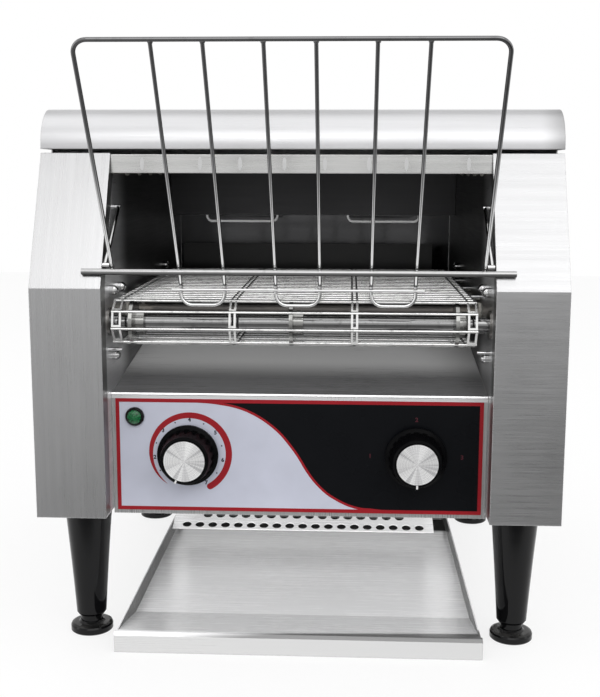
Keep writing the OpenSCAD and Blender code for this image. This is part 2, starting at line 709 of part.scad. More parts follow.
shaft_end = wall_x + 5;
module front_shaft() color("silver") placed() translate([0, shaft_y, shaft_z]) {
    bar_x(-shaft_end, shaft_end, shaft_d);
    both_sides() translate([shaft_end - 1.5, 0, 0]) bar_x(0, 1.5, shaft_d + 4);
}
module drive_shaft() color("silver") placed() translate([0, rear_shaft_y, shaft_z]) {
    bar_x(-shaft_end, chain_mid_x + 8, shaft_d);
    translate([-shaft_end, 0, 0]) bar_x(0, 1.5, shaft_d + 4);
}

// Flanged bushes pressed into the inner walls.
flange_t = 1.6;
module bush() difference() {
    union() {
        bar_x(inner_x, wall_x + 1, bush_d);
        bar_x(inner_x - flange_t, inner_x, bush_d + 5);
    }
    bar_x(inner_x - 3, wall_x + 3, shaft_d + 2 * run_fit);
}
module shaft_bushes() color("goldenrod") placed() both_sides() for (y = [shaft_y, rear_shaft_y])
    translate([0, y, shaft_z]) bush();

// Rods that carry the upper run, and short pins that keep the belt off the walls.
rod_d = 4;
rod_z = shaft_z + belt_r - belt_wire / 2 - rod_d / 2 - gap;
function rod_ys() = [for (i = [1:3]) shaft_y + shaft_span * i / 4];
module belt_support_rods() color("silver") placed() for (y = rod_ys()) translate([0, y, rod_z])
    bar_x(-wall_x - 1, wall_x + 1, rod_d);
pin_y = shaft_y - 2;
pin_z = shaft_z - belt_r - belt_wire / 2 - 3;
pin_d = 2.4;
module belt_guide_pins() color("silver") placed() both_sides() translate([0, pin_y, pin_z])
    bar_x(inner_x - 9, inner_x, pin_d);

// Reflector between the two belt runs, folded up at its edges.
reflector_z = shaft_z - belt_r + belt_wire / 2 + 4;
module lower_reflector() color("silver") placed() side_plate(-inner_x + seat, inner_x - seat) {
    y1 = shaft_y + belt_r + 14;
    y2 = rear_shaft_y - belt_r - 14;
    translate([y1, reflector_z]) square([y2 - y1, sheet]);
    for (y = [y1, y2 - sheet]) translate([y, reflector_z]) square([sheet, 6]);
}

// Heater tubes run through ceramic insulators in the inner walls.
function upper_ys() = [for (i = [0:upper_heaters_n - 1]) heater_y + i * heater_step];
function lower_ys() = [for (i = [0:lower_heaters_n - 1])
    shaft_y + shaft_span / 2 + (i - (lower_heaters_n - 1) / 2) * lower_step];
function heater_places() = concat([for (y = upper_ys()) [y, upper_heater_z]],
    [for (y = lower_ys()) [y, lower_heater_z]]);
module heater(p) translate([0, p[0], p[1]]) {
    bar_x(-wall_x - heater_out, wall_x + heater_out, heater_d);
    both_sides() bar_x(wall_x + heater_out - 0.01, wall_x + heater_out + 9, 3);
}
module upper_heaters() color("darkgray") placed() for (y = upper_ys()) heater([y, upper_heater_z]);
module lower_heaters() color("darkgray") placed() for (y = lower_ys()) heater([y, lower_heater_z]);
module heater_insulators() color("ivory") placed() both_sides() for (p = heater_places())
    translate([0, p[0], p[1]]) difference() {
        bar_x(inner_x - 1.6, wall_x + 4, insulator_d - 2 * seat);
        bar_x(inner_x - 4, wall_x + 8, heater_d + 2 * seat);
    }

// Gear motor on the right inner wall: gearbox, boss through the wall and motor can.
motor_boss_d = 14;
gearbox_l = 26;
gearbox_s = 44;
module gear_motor() color("slategray") placed() translate([0, motor_y, motor_z]) difference() {
    union() {
        translate([inner_x - gearbox_l, -gearbox_s / 2, -gearbox_s / 2])
            cube([gearbox_l - seat, gearbox_s, gearbox_s]);
        bar_x(inner_x - 1, wall_x + 1, motor_boss_d);
        bar_x(inner_x - gearbox_l - motor_l, inner_x - gearbox_l + 0.01, motor_d);
        for (s = [-1, 1]) translate([inner_x - gearbox_l - motor_l - 4, s * 8 - 1, -3]) cube([5, 2, 6]);
    }
    bar_x(inner_x - gearbox_l + 4, wall_x + 4, motor_shaft_d + 2 * run_fit);
}
module motor_shaft() color("silver") placed() translate([0, motor_y, motor_z])
    bar_x(inner_x - gearbox_l + 6, chain_mid_x + 6, motor_shaft_d);

// Chain sprockets: round gaps on the pitch circle, one for each roller.
chain_t = 2.4;
module chain_sprocket(teeth, r, bore, turn) translate([-chain_t / 2, 0, 0]) rotate([90, 0, 90]) difference() {
    union() {
        linear_extrude(chain_t) difference() {
            circle(r = r + chain_pitch * 0.22, $fn = 96);
            for (i = [0:teeth - 1]) rotate(turn + i * 360 / teeth) translate([r, 0]) {
                circle(d = chain_roller + 0.6, $fn = 24);
                polygon([[0, -chain_roller * 0.5], [3, -chain_roller * 1.25], [3, chain_roller * 1.25],
                    [0, chain_roller * 0.5]]);
            }
        }
        translate([0, 0, chain_t - 0.01]) cylinder(h = 5, d = bore + 6);
    }
    translate([0, 0, -1]) cylinder(h = 10, d = bore);
}
// The chain's path round both sprockets, measured in links from the motor sprocket's first tooth gap.
line_a = 90 - chain_tilt;
chain_lean = asin((drive_r - motor_r) / chain_gap);
arc_from = line_a + 90 + chain_lean;
arc_to = arc_from - 180 - 2 * chain_lean;
motor_step = 360 / motor_teeth;
drive_step = 360 / drive_teeth;
run_links = chain_gap * cos(chain_lean) / chain_pitch;
over_links = (arc_from - arc_to) / drive_step;
round_links = (360 - arc_from + arc_to) / motor_step;
path_links = 2 * run_links + over_links + round_links;
function on_motor(a) = [motor_y, motor_z] + motor_r * [cos(a), sin(a)];
function on_drive(a) = [rear_shaft_y, shaft_z] + drive_r * [cos(a), sin(a)];
function chain_at(q) =
    q < run_links ? on_motor(arc_from) + (on_drive(arc_from) - on_motor(arc_from)) * q / run_links
    : q < run_links + over_links ? on_drive(arc_from - (q - run_links) * drive_step)
    : q < 2 * run_links + over_links
    ? on_drive(arc_to) + (on_motor(arc_to) - on_drive(arc_to)) * (q - run_links - over_links) / run_links
    : on_motor(arc_to - (q - 2 * run_links - over_links) * motor_step);
rollers = [for (i = [0:chain_links - 1]) chain_at(i * path_links / chain_links)];
drive_turn = arc_from - (ceil(run_links) - run_links) * drive_step;
module motor_sprocket() color("gray") placed() translate([chain_mid_x, motor_y, motor_z])
    chain_sprocket(motor_teeth, motor_r, motor_shaft_d, arc_from);
module shaft_sprocket() color("gray") placed() translate([chain_mid_x, rear_shaft_y, shaft_z])
    chain_sprocket(drive_teeth, drive_r, shaft_d, drive_turn);

plate_t = 0.8;
chain_pin_d = 2;
inner_out = chain_t / 2 + 0.3;
outer_out = inner_out + plate_t + seat;
module link_plate(l) linear_extrude(plate_t) {
    for (x = [0, l]) translate([x, 0]) circle(d = chain_pitch * 0.8, $fn = 32);
    translate([0, -chain_pitch * 0.3]) square([l, chain_pitch * 0.6]);
}
// Inner links carry the hollow rollers; outer links carry the pins that pass through them.
module inner_link(l) difference() {
    union() {
        for (z = [-inner_out - plate_t, inner_out]) translate([0, 0, z]) link_plate(l);
        for (x = [0, l]) translate([x, 0, 0])
            cylinder(h = 2 * inner_out + plate_t, d = chain_roller, center = true, $fn = 32);
    }
    for (x = [0, l]) translate([x, 0, 0])
        cylinder(h = 20, d = chain_pin_d + 2 * seat, center = true, $fn = 24);
}
module outer_link(l) {
    for (z = [-outer_out - plate_t, outer_out]) translate([0, 0, z]) link_plate(l);
    for (x = [0, l]) translate([x, 0, 0])
        cylinder(h = 2 * (outer_out + plate_t) + 0.8, d = chain_pin_d, center = true, $fn = 24);
}
module drive_chain() color("dimgray") placed() for (i = [0:chain_links - 1]) {
    here = rollers[i];
    next = rollers[(i + 1) % chain_links];
    step = next - here;
    translate([chain_mid_x, here[0], here[1]]) rotate([90, 0, 90]) rotate([0, 0, atan2(step[1], step[0])])
        if (i % 2 == 0) inner_link(norm(step)); else outer_link(norm(step));
}

// Cooling fan on the base plate.
fan_size = 80;
fan_t = 25;
fan_x = 20;
fan_y = 120;
fan_z = base_z + sheet;
module fan_frame() color("black") placed() translate([fan_x, fan_y, fan_z]) {
    difference() {
        translate([-fan_size / 2, -fan_size / 2, 0]) cube([fan_size, fan_size, fan_t]);
        translate([0, 0, -1]) cylinder(h = fan_t + 2, d = fan_size - 4);
        for (x = [-1, 1], y = [-1, 1]) translate([x * 35.75, y * 35.75, -1]) cylinder(h = fan_t + 2, d = 4.3);
    }
    cylinder(h = 3, d = 34);
    for (i = [0:3]) rotate([0, 0, 45 + 90 * i]) translate([16, -2, 0]) cube([fan_size / 2 - 17, 4, 3]);
    cylinder(h = 10, d = 4);
}
module fan_rotor() color("dimgray") placed() translate([fan_x, fan_y, fan_z + 3 + gap]) {
    difference() {
        cylinder(h = 20, d = 32);
        translate([0, 0, -1]) cylinder(h = 12, d = 4 + 2 * run_fit);
    }
    for (i = [0:6]) rotate([0, 0, i * 360 / 7]) translate([14, 0, 10]) rotate([40, 0, 0])
        translate([0, -0.8, -11]) cube([fan_size / 2 - 18, 1.6, 22]);
}

// Wiring pieces on the base plate and the shelf.
block_place = [-70, 190];
block_size = [62, 20, 16];
block_poles = 6;
block_step = 10;
module terminal_block() color("ivory") placed() translate([block_place.x, block_place.y, base_z + sheet])
    difference() {
        cube(block_size);
        for (i = [0:block_poles - 1])
            translate([block_size.x / 2 + (i - (block_poles - 1) / 2) * block_step, block_size.y / 2, 0]) {
                translate([0, 0, block_size.z / 2]) cylinder(h = block_size.z, d = block_step / 2);
                translate([0, 0, 5]) rotate([90, 0, 0]) cylinder(h = 2 * block_size.y, d = 4, center = true);
            }
    }
thermostat_place = [-70, 220];
module limit_thermostat() color("silver") placed()
    translate([thermostat_place.x, thermostat_place.y, shelf_flat_z + seat - 12]) {
    cylinder(h = 12, d = 16);
    translate([0, 0, -3]) cylinder(h = 3.01, d = 11);
    for (s = [-1, 1]) translate([s * 4 - 1.5, -0.4, -9]) cube([3, 0.8, 6.1]);
    translate([-12, -4, 11]) cube([24, 8, 1]);
}
gland_x = inner_x + housing_w / 2;
gland_z = base_z + 40;
gland_d = 16;
gland_nut_d = 22;
gland_nut_h = 4;
gland_bore = 8;
module cable_gland() color("black") placed() translate([gland_x, body_d, gland_z]) rotate([-90, 0, 0])
    difference() {
        union() {
            for (z = [0, -sheet - gland_nut_h]) translate([0, 0, z])
                cylinder(h = gland_nut_h, d = gland_nut_d, $fn = 6);
            translate([0, 0, gland_nut_h - 0.01]) rotate_extrude()
                polygon([[0, 0], [9, 0], [7.5, gland_out - gland_nut_h], [0, gland_out - gland_nut_h]]);
            translate([0, 0, -6]) cylinder(h = 6.01, d = gland_d - 2 * seat);
        }
        translate([0, 0, -10]) cylinder(h = 30, d = gland_bore);
    }

// Domed nuts inside the chamber and the screws that hold the casing.
nut_hole = 4.2;
nut_d = 7;
function nut_places() = [[shaft_y + 4, shaft_z + 22], [shaft_y + 30, shaft_z + 22],
    [shaft_y + 7, shaft_z - 25], [rear_shaft_y - 30, shaft_z + 22]];
module wall_nuts() color("silver") placed() both_sides() for (p = nut_places()) translate([0, p[0], p[1]]) {
    bar_x(inner_x - 1.2, wall_x + 3, nut_hole - 2 * seat);
    bar_x(inner_x - 2.6, inner_x, nut_d);
    translate([inner_x - 2.6, 0, 0]) rotate([0, -90, 0]) rotate_extrude() intersection() {
        circle(d = nut_d, $fn = 48);
        square([nut_d / 2, nut_d / 2]);
    }
    bar_x(wall_x, wall_x + 2.4, nut_d);
}
module screw_head() rotate_extrude() polygon([[0, 0], [3.5, 0], [3.5, 0.4], [2.2, 1.3], [0, 1.5]]);
function side_screws() = [[24, base_z + 14], [body_d - 24, base_z + 14], [body_d - 24, top_z - 16]];
module casing_screws() color("silver") placed() {
    both_sides() for (p = side_screws()) translate([half_w, p[0], p[1]]) rotate([0, 90, 0]) screw_head();
    for (x = [-rear_x + 8, rear_x - 8], z = [base_z + 12, top_z - 12]) translate([x, body_d, z])
        rotate([-90, 0, 0]) screw_head();
}

// Feed rack. Points in the rack's plane: u along the slope, y and z from the cross bar.
function rack_point(u, back) = [bar_y - u * sin(rack_lean) + back * cos(rack_lean),
    bar_z + u * cos(rack_lean) + back * sin(rack_lean)];
module rack_plane(back) translate([0, rack_point(0, back)[0], rack_point(0, back)[1]])
    rotate([90 + rack_lean, 0, 0]) children();
frame_bend = 9;
module rack_frame() color("silver") placed() rack_plane(frame_back) {
    for (side = [-1, 1]) translate([side * rack_w / 2, 0, 0]) rotate([-90, 0, 0]) translate([0, 0, -1])
        cylinder(h = rack_l - frame_bend + 1, d = rack_wire);
    translate([0, rack_l, 0]) bar_x(-rack_w / 2 + frame_bend, rack_w / 2 - frame_bend, rack_wire);
    translate([rack_w / 2 - frame_bend, rack_l - frame_bend, 0]) bend(frame_bend, rack_wire, 0);
    translate([-rack_w / 2 + frame_bend, rack_l - frame_bend, 0]) bend(frame_bend, rack_wire, 90);
}
module rack_cross_bar() color("silver") placed() translate([0, bar_y, bar_z])
    bar_x(-bar_l / 2, bar_l / 2, bar_d);

// Guides: straight wires down the rack, then upright to their bent tips in front of the belt.
guide_bend = 8;
kink_u = -14;
tip_z = shaft_z + 14;
kink = rack_point(kink_u, guide_back);
module guide_leg() {
    translate([0, kink[0], tip_z + guide_bend]) cylinder(h = kink[1] - tip_z - guide_bend, d = guide_wire);
    translate([0, kink[0], kink[1]]) {
        sphere(d = guide_wire + 0.2);
        rotate([rack_lean, 0, 0]) cylinder(h = rack_l - kink_u - rack_wire / 2 - weld, d = guide_wire);
    }
}
module guide_tip() translate([0, kink[0], tip_z]) {
    inner = guide_w / 2 - guide_bend;
    bar_x(-inner, inner, guide_wire);
    translate([inner, 0, guide_bend]) rotate([90, 0, 0]) bend(guide_bend, guide_wire, 270);
    translate([-inner, 0, guide_bend]) rotate([90, 0, 0]) bend(guide_bend, guide_wire, 180);
}
module rack_guides() color("silver") placed() for (i = [-1:1]) translate([i * guide_step, 0, 0]) {
    for (side = [-1, 1]) translate([side * guide_w / 2, 0, 0]) guide_leg();
    guide_tip();
}
tip_rod_w = 2 * guide_step + guide_w + 12;
module rack_tip_rod() color("silver") placed()
    translate([0, kink[0] - (guide_wire + tip_rod_d) / 2 - weld, kink[1] - 3])
        bar_x(-tip_rod_w / 2, tip_rod_w / 2, tip_rod_d);

// Hooks: from the frame's lower ends back to pins that turn in the inner walls.
hook_x = inner_x - rack_wire / 2 - 1.6;
module rack_hooks() color("silver") placed() both_sides() {
    from = rack_point(3, frame_back);
    run = [pivot_y, pivot_z] - from;
    translate([hook_x, from[0], from[1]]) rotate([atan2(run[1], run[0]) - 90, 0, 0])
        cylinder(h = norm(run), d = rack_wire);
    translate([0, pivot_y, pivot_z]) bar_x(hook_x - hook_pin_d / 2, wall_x + 2, hook_pin_d);
    translate([0, from[0], from[1]])
        bar_x(rack_w / 2 + rack_wire / 2 + weld, hook_x + hook_pin_d / 2, hook_pin_d);
}

left_housing();
right_housing();
left_inner_wall();
right_inner_wall();
top_cover();
hood();
rear_baffle();
guard_wires();
rear_panel();
base_plate();
lower_shelf();
control_panel();
panel_overlay();
lamp_bezel();
lamp_lens();
speed_pot();
selector_switch();
speed_spindle();
speed_knob();
speed_knob_cap();
selector_spindle();
selector_knob();
selector_knob_cap();
legs();
foot_front_left();
foot_front_right();
foot_rear_left();
foot_rear_right();
toast_chute();
toast_tray();
wire_belt();
front_shaft();
front_sprockets();
drive_shaft();
drive_sprockets();
shaft_bushes();
belt_support_rods();
belt_guide_pins();
lower_reflector();
upper_heaters();
lower_heaters();
heater_insulators();
gear_motor();
motor_shaft();
motor_sprocket();
shaft_sprocket();
drive_chain();
fan_frame();
fan_rotor();
terminal_block();
limit_thermostat();
cable_gland();
wall_nuts();
casing_screws();
rack_frame();
rack_cross_bar();
rack_guides();
rack_tip_rod();
rack_hooks();
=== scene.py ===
import math
import bpy
import bmesh
from mathutils import Matrix, Vector


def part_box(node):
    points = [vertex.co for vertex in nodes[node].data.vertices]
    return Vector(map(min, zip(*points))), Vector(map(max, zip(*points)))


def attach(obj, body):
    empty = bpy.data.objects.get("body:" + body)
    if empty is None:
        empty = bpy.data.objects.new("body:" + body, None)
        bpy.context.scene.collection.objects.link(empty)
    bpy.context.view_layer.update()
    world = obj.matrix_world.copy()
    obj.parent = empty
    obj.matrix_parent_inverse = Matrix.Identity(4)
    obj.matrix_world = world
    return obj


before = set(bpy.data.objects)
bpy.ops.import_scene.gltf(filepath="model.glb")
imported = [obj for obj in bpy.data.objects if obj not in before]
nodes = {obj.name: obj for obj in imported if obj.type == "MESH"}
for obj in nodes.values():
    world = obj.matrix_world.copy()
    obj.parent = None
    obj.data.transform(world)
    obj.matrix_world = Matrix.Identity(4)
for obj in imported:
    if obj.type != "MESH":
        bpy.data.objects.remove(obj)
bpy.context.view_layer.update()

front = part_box("left_housing")[0][1]


def at(x, y, z):
    """A point in millimetres, measured from the front face and the floor, in the row frame."""
    return Vector((x / 1000, front + y / 1000, z / 1000))


def grey(v):
    return (v, v, v)


# ---------------------------------------------------------------- material tools
class Tree:
    """Short calls for a node tree."""

    def __init__(self, tree):
        self.t = tree

    def node(self, kind, **props):
        n = self.t.nodes.new(kind)
        for key, value in props.items():
            setattr(n, key, value)
        return n

    def set(self, n, key, value):
        sock = n.inputs[key]
        if hasattr(value, "is_output"):
            self.t.links.new(value, sock)
        else:
            sock.default_value = value

    def out(self, kind, result=0, props=None, **sockets):
        n = self.node(kind, **(props or {}))
        for key, value in sockets.items():
            key = int(key[1:]) if key[0] == "_" else key.replace("_", " ")
            self.set(n, key, value)
        return n.outputs[result]

    def math(self, op, a, b=0.0):
        return self.out("ShaderNodeMath", props={"operation": op}, _0=a, _1=b)

    def vmath(self, op, a, b=(0, 0, 0), result=0):
        return self.out("ShaderNodeVectorMath", result, props={"operation": op}, _0=a, _1=b)

    def range(self, v, a, b, c=0.0, d=1.0, smooth=False):
        kind = {"interpolation_type": "SMOOTHSTEP"} if smooth else {}
        n = self.node("ShaderNodeMapRange", **kind)
        values = {"Value": v, "From Min": a, "From Max": b, "To Min": c, "To Max": d}
        for key, value in values.items():
            self.set(n, key, value)
        return n.outputs[0]

    def noise(self, scale, detail=2.0, rough=0.5, move=(0, 0, 0)):
        """Noise at the object's own place; scale holds one number per axis."""
        spot = self.out("ShaderNodeMapping", _0=self.pos, Location=move, Scale=scale)
        return self.out("ShaderNodeTexNoise", Vector=spot, Scale=1.0, Detail=detail,
                        Roughness=rough)

    def mix(self, f, a, b):
        n = self.node("ShaderNodeMix", data_type="RGBA")
        self.set(n, 0, f)
        self.set(n, 6, a if hasattr(a, "is_output") else (*a, 1))
        self.set(n, 7, b if hasattr(b, "is_output") else (*b, 1))
        return n.outputs[2]

    def xyz(self, v):
        n = self.node("ShaderNodeSeparateXYZ")
        self.set(n, 0, v)
        return n.outputs

    def steps(self, value, points):
        """A grey that follows value through (value, grey) points."""
        n = self.node("ShaderNodeValToRGB")
        low, high = points[0][0], points[-1][0]
        spots = n.color_ramp.elements
        spots[0].color = (*grey(points[0][1]), 1)
        spots[1].color = (*grey(points[-1][1]), 1)
        for v, level in points[1:-1]:
            spots.new((v - low) / (high - low)).color = (*grey(level), 1)
        self.t.links.new(self.range(value, low, high), n.inputs[0])
        return n.outputs[0]


class Mat(Tree):
    """A Principled material."""

    def __init__(self, name, color, rough, metal=0.0, **sockets):
        self.m = bpy.data.materials.new(name)
        self.m.use_nodes = True
        super().__init__(self.m.node_tree)
        self.s = self.t.nodes["Principled BSDF"]
        self.set(self.s, "Base Color", (*color, 1))
        self.set(self.s, "Roughness", rough)
        self.set(self.s, "Metallic", metal)
        for key, value in sockets.items():
            self.set(self.s, key.replace("_", " "), value)
        self.pos = self.node("ShaderNodeTexCoord").outputs["Object"]

    def bump(self, height, strength, distance, normal=None):
        n = self.node("ShaderNodeBump")
        self.set(n, "Strength", strength)
        self.set(n, "Distance", distance)
        self.set(n, "Height", height)
        if normal:
            self.set(n, "Normal", normal)
        return n.outputs[0]

    def rounded(self, radius):
        """(normal rounded at edges, 0 on flats to 1 on edges)"""
        n = self.out("ShaderNodeBevel", props={"samples": 4}, Radius=radius)
        true = self.node("ShaderNodeNewGeometry").outputs["Normal"]
        edge = self.math("SUBTRACT", 1.0, self.vmath("DOT_PRODUCT", n, true, 1))
        return n, self.range(edge, 0.0, 0.2)


FACING, PLACE = "normal", "place"
CROSS, DEEP, UPRIGHT = 0, 1, 2              # the axis that a sheet's grain runs along
STEEL_EDGE, PLASTIC_EDGE = 0.0008, 0.0004   # radius of the rounded edges in metres


def along(axis, fine, coarse):
    """Noise scale for grain that runs along an axis."""
    return tuple(coarse if i == axis else fine for i in range(3))


def steel(name, color, grain, rough=0.3, soft=1.0, *tints, metal=1.0):
    """Brushed sheet: grain along an axis, soft bands, blotches, and a painted highlight on the
    rounded edges.
    A tint is (colour, FACING or PLACE, direction, low, high): the colour comes in as the face's
    normal or the place, measured along the direction, goes from low to high. A sixth item makes
    it matt."""
    k = Mat(name, color, rough, metal, Anisotropic=0.55)
    grain_axis = [0.013, 0.017, 0.011]
    grain_axis[grain] = 1.0
    face = k.node("ShaderNodeNewGeometry").outputs["Normal"]
    across = k.vmath("CROSS_PRODUCT", face, tuple(grain_axis))
    k.set(k.s, "Tangent", k.vmath("NORMALIZE", across))
    place = k.pos
    if grain != DEEP:
        # the second fine axis counts only on the faces that it lies in, so that slopes aren't cut
        # across the grain
        sideways = k.math("ABSOLUTE", k.xyz(face)[0])
        fine = k.range(sideways, 0.5, 0.8, *((0.01, 1.0) if grain == UPRIGHT else (1.0, 0.01)))
        squash = {"_0": 1.0, "_1": 1.0, "_2": 1.0, "_1" if grain == UPRIGHT else "_2": fine}
        k.pos = k.vmath("MULTIPLY", place, k.out("ShaderNodeCombineXYZ", **squash))
    hair = k.noise(along(grain, 2600, 22), 3, 0.6)
    band = k.noise(along(grain, 260, 7), 2, 0.5, (3, 1, 2))
    k.pos = place
    blotch = k.noise((11, 11, 11), 3, 0.55, (5, 2, 7))
    tone = k.math("ADD", k.range(hair, 0.3, 0.7, -0.05 * soft, 0.05 * soft),
                  k.range(band, 0.3, 0.7, -0.045 * soft, 0.045 * soft))
    tone = k.math("ADD", tone, k.range(blotch, 0.3, 0.7, -0.05 * soft, 0.05 * soft))
    light = tuple(min(1.0, c * 1.22) for c in color)
    dark = tuple(c * 0.78 for c in color)
    shade = k.mix(k.range(tone, -0.2, 0.2), dark, light)
    normal, edge = k.rounded(STEEL_EDGE)
    # painted highlight: the rounded edges are lightened towards white
    shade = k.mix(k.math("MULTIPLY", edge, 0.8), shade, grey(0.93))
    r = k.math("ADD", rough, k.range(hair, 0.3, 0.7, -0.06, 0.06))
    r = k.math("ADD", r, k.range(blotch, 0.3, 0.7, -0.03, 0.04))
    for tint, kind, direction, low, high, *matt in tints:
        measure = k.vmath("DOT_PRODUCT", k.pos if kind == PLACE else face, direction, 1)
        where = k.range(measure, low, high, 0, 1, True)
        shade = k.mix(where, shade, tint)
        r = k.math("ADD", r, k.math("MULTIPLY", where, 0.04))
        if matt:
            gloss = k.math("SUBTRACT", 1.0, where)
            k.set(k.s, "Specular IOR Level", k.math("MULTIPLY", gloss, 0.5))
            k.set(k.s, "Metallic", k.math("MULTIPLY", gloss, metal))
    k.set(k.s, "Base Color", shade)
    k.set(k.s, "Roughness", r)
    k.set(k.s, "Normal", k.bump(hair, 0.12, 0.00004, normal))
    return k.m


def wire(name, color, rough=0.05, dirt=0.3, metal=1.0, low=None, flank=0.0, core=(0, -1, 0)):
    """Chromed wire: near mirror, with faint drawing lines and dull patches. low is (colour, z, z)
    for a part that is painted brighter, a painted reflection, from the one height down to the
    other. flank is how far painted shade darkens the wire where it faces away from the
    direction core."""
    k = Mat(name, color, rough, metal)
    patch = k.noise((160, 160, 160), 4, 0.6)
    line = k.noise((1500, 90, 1500), 2, 0.5)
    dull = k.range(patch, 0.5, 0.75, 0, 1, True)
    shade = k.mix(k.math("MULTIPLY", dull, dirt), color, tuple(c * 0.45 for c in color))
    # painted reflection: low paints the wire brighter from one height down
    if low:
        shade = k.mix(k.range(k.xyz(k.pos)[2], low[1], low[2], 0, 1, True), shade, low[0])
    # painted shade: flank darkens the faces turned away from core
    if flank:
        face = k.node("ShaderNodeNewGeometry").outputs["Normal"]
        side = k.range(k.vmath("DOT_PRODUCT", face, core, 1), 0.8, 0.35, 0, flank, True)
        shade = k.mix(side, shade, grey(0.02))
    k.set(k.s, "Base Color", shade)
    k.set(k.s, "Roughness", k.math("ADD", rough, k.math("MULTIPLY", dull, 0.14)))
    k.set(k.s, "Normal", k.bump(line, 0.08, 0.00003))
    return k.m


def plastic(name, color, rough, grain=0.1, lighter=1.6, dusty=0.16, **sockets):
    """Moulded plastic: fine spark-eroded grain, polished high edges, a little dust on top."""
    k = Mat(name, color, rough, 0.0, **sockets)
    fine = k.noise((1800, 1800, 1800), 2, 0.6)
    cloud = k.noise((60, 60, 60), 3, 0.55, (1, 4, 2))
    normal, edge = k.rounded(PLASTIC_EDGE)
    up = k.xyz(k.node("ShaderNodeNewGeometry").outputs["Normal"])[2]
    dust = k.math("MULTIPLY", k.range(up, 0.6, 1.0, 0, dusty), k.range(cloud, 0.35, 0.7))
    worn = tuple(min(1.0, c * lighter + 0.004) for c in color)
    shade = k.mix(k.math("MULTIPLY", edge, 0.4), color, worn)
    k.set(k.s, "Base Color", k.mix(dust, shade, (0.4, 0.39, 0.37)))
    k.set(k.s, "Roughness", k.math("ADD", rough, k.range(cloud, 0.3, 0.7, -0.05, 0.06)))
    k.set(k.s, "Normal", k.bump(fine, grain, 0.00005, normal))
    return k.m


def printed(name, color, rough=0.32, gloss=0.4):
    """Ink on a polycarbonate film: even colour with a slight cloud and the film's fine velvet."""
    k = Mat(name, color, rough, 0.0, Specular_IOR_Level=gloss)
    cloud = k.noise((35, 35, 35), 3, 0.5)
    velvet = k.noise((2600, 2600, 2600), 2, 0.5)
    dark = tuple(c * 0.95 for c in color)
    light = tuple(min(1, c * 1.04) for c in color)
    k.set(k.s, "Base Color", k.mix(k.range(cloud, 0.3, 0.7), dark, light))
    k.set(k.s, "Roughness", k.range(cloud, 0.3, 0.7, rough - 0.03, rough + 0.04))
    k.set(k.s, "Normal", k.bump(velvet, 0.06, 0.00003))
    return k.m


def ceramic(name, color):
    """Fired clay: dull, with dark specks and straw-coloured clouds."""
    k = Mat(name, color, 0.6)
    speck = k.noise((900, 900, 900), 2, 0.7)
    cloud = k.noise((90, 90, 90), 3, 0.6)
    shade = k.mix(k.range(speck, 0.62, 0.7), color, (0.3, 0.26, 0.2))
    straw = k.range(cloud, 0.55, 0.8, 0, 0.4)
    k.set(k.s, "Base Color", k.mix(straw, shade, (0.55, 0.48, 0.38)))
    k.set(k.s, "Normal", k.bump(cloud, 0.2, 0.0002))
    return k.m


def sheath():
    """Heater tube: dark oxidised metal, with brighter ends that stay cold."""
    k = Mat("heater_sheath_look", (0.2, 0.18, 0.17), 0.5, 0.8)
    x = k.math("ABSOLUTE", k.xyz(k.pos)[0])
    cloud = k.noise((70, 400, 400), 4, 0.6)
    uneven = k.math("ADD", x, k.range(cloud, 0.3, 0.7, -0.01, 0.01))
    hot = k.range(uneven, 0.125, 0.112, 0, 1, True)
    shade = k.mix(k.range(cloud, 0.3, 0.7), (0.11, 0.105, 0.1), (0.21, 0.195, 0.185))
    k.set(k.s, "Base Color", k.mix(hot, (0.4, 0.37, 0.33), shade))
    k.set(k.s, "Roughness", k.range(cloud, 0.3, 0.7, 0.4, 0.62))
    k.set(k.s, "Normal", k.bump(cloud, 0.15, 0.0002))
    return k.m


def spun(name, centre):
    """Knob cap: aluminium disc turned in fine rings, with a fan of painted highlights in its
    colour.
    """
    k = Mat(name, (0.94, 0.94, 0.95), 0.3, 0.45, Anisotropic=0.95)
    rel = k.vmath("SUBTRACT", k.pos, tuple(centre))
    x, y, z = k.xyz(rel)
    radial = k.out("ShaderNodeCombineXYZ", _0=x, _1=0.0, _2=z)
    k.set(k.s, "Tangent", k.vmath("NORMALIZE", radial))
    r = k.vmath("LENGTH", radial, result=1)
    ring = k.out("ShaderNodeTexNoise", props={"noise_dimensions": "1D"},
                 W=k.math("MULTIPLY", r, 4200.0), Scale=1.0, Detail=2.0)
    sweep = k.out("ShaderNodeTexNoise", Vector=k.vmath("NORMALIZE", radial), Scale=2.6, Detail=4.0,
                  Roughness=0.6)
    # painted highlights: sectors of the cap are lightened towards white in a fan
    fan = k.range(sweep, 0.34, 0.55, smooth=True)
    k.set(k.s, "Base Color", k.mix(fan, (0.62, 0.62, 0.63), grey(1.0)))
    k.set(k.s, "Roughness", k.range(ring, 0.3, 0.7, 0.24, 0.36))
    k.set(k.s, "Normal", k.bump(ring, 0.05, 0.00003))
    return k.m


def lens():
    """Lamp lens: green clear plastic with small pyramids inside."""
    bright, deep = (0.012, 0.24, 0.07), (0.001, 0.05, 0.015)
    k = Mat("lens_look", (0.01, 0.22, 0.06), 0.12, 0.0, Coat_Weight=0.15, Coat_Roughness=0.05)
    cells = k.out("ShaderNodeTexVoronoi", Vector=k.vmath("SCALE", k.pos), Scale=900.0)
    big = k.noise((240, 240, 240), 2, 0.5)
    k.set(k.s, "Base Color", k.mix(k.range(cells, 0.1, 0.8), bright, deep))
    k.set(k.s, "Roughness", k.range(big, 0.3, 0.7, 0.08, 0.2))
    k.set(k.s, "Normal", k.bump(cells, 0.5, 0.0004))
    return k.m


def give(material, *names):
    for name in names:
        o = nodes[name]
        o.data.materials.clear()
        o.data.materials.append(material)


# ---------------------------------------------------------------- node materials
SHEET = (0.56, 0.56, 0.565)
